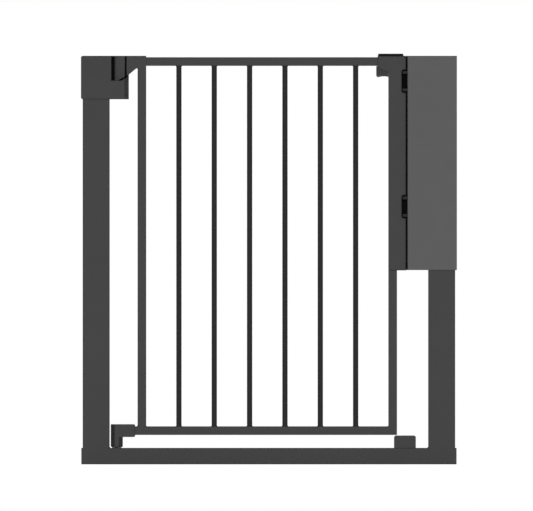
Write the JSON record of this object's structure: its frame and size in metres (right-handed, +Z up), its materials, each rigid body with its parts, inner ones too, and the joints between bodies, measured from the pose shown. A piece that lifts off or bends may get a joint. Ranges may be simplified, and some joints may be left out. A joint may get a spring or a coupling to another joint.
{
  "type": "safety baby gate",
  "caption": "Dark grey steel safety gate with a barred door hinged at the left, a tall lock box at the right and a squeeze-trigger handle",
  "frame": {"origin": "floor level, at the middle of the gate's bounding box", "axes": "+X to the lock side, -Y to the side the door opens to, +Z up"},
  "size_m": [0.6966, 0.04, 0.761],
  "materials": {
    "coated_tube": "fine-textured dark grey powder coat",
    "coated_bar": "fine-textured dark grey powder coat",
    "moulded_grey": "dark grey moulded plastic, lightly grained",
    "cast_bracket": "dark grey coated zinc casting",
    "lock_box_grey": "mid grey moulded plastic, satin",
    "trigger_grey": "dark grey moulded plastic, lightly grained",
    "dark_plastic": "near black moulded plastic",
    "bush_plastic": "black nylon",
    "bumper_rubber": "black rubber",
    "keeper_steel": "dark coated steel",
    "zinc_steel": "zinc plated steel",
    "spring_steel": "oiled spring wire"
  },
  "bodies": {
    "frame": {"left_post": "coated_tube", "right_post": "coated_tube", "floor_bar": "coated_tube", "floor_bar_cap_left": "moulded_grey", "floor_bar_cap_right": "moulded_grey", "spindle_inserts": "zinc_steel", "hinge_housing_front": "moulded_grey", "hinge_housing_rear": "moulded_grey", "hinge_housing_screws": "zinc_steel", "upper_pivot_bush": "bush_plastic", "lower_pivot_bush": "bush_plastic", "closing_spring": "spring_steel", "lock_box_front": "lock_box_grey", "lock_box_rear": "lock_box_grey", "lock_box_screws": "zinc_steel", "stop_bumper": "bumper_rubber", "upper_keeper": "keeper_steel", "lower_keeper": "keeper_steel", "keeper_screws": "zinc_steel", "stop_block": "moulded_grey", "stop_block_screws": "zinc_steel"},
    "door": {"door_left_stile": "coated_tube", "door_right_stile": "coated_tube", "door_top_rail": "coated_tube", "door_bottom_rail": "coated_tube", "bottom_rail_plug": "moulded_grey", "door_bar_1": "coated_bar", "door_bar_2": "coated_bar", "door_bar_3": "coated_bar", "door_bar_4": "coated_bar", "door_bar_5": "coated_bar", "door_bar_6": "coated_bar", "upper_hinge_knuckle": "cast_bracket", "upper_corner_bracket": "cast_bracket", "knuckle_gasket": "bumper_rubber", "upper_hinge_pin": "keeper_steel", "upper_bracket_screw": "zinc_steel", "lower_hinge_bracket": "moulded_grey", "lower_hinge_pin": "keeper_steel", "lower_bracket_screw": "zinc_steel", "handle_front_shell": "moulded_grey", "handle_rear_shell": "moulded_grey", "handle_screws": "zinc_steel", "latch_spring": "spring_steel"},
    "latch": {"trigger": "trigger_grey", "lock_rod": "keeper_steel", "upper_lock_pin": "zinc_steel", "lower_lock_pin": "zinc_steel", "trigger_cross_pin": "zinc_steel"},
    "thumb": {"thumb_slide": "dark_plastic"}
  },
  "joints": [
    {"name": "door_swing", "type": "hinge", "parent": "frame", "child": "door", "pos_m": [-0.2819, 0, 0.38], "axis": [0, 0, -1], "range_deg": [0, 90], "stiffness_Nm_per_rad": 0.4, "springref_deg": -17.19},
    {"name": "latch_drop", "type": "slide", "parent": "door", "child": "latch", "axis": [0, 0, -1], "range_m": [0, 0.0095], "stiffness_N_per_m": 250, "springref_m": 0.02, "deforming": ["latch_spring"]},
    {"name": "thumb_slide_back", "type": "slide", "parent": "door", "child": "thumb", "axis": [-1, 0, 0], "range_m": [0, 0.005]}
  ]
}
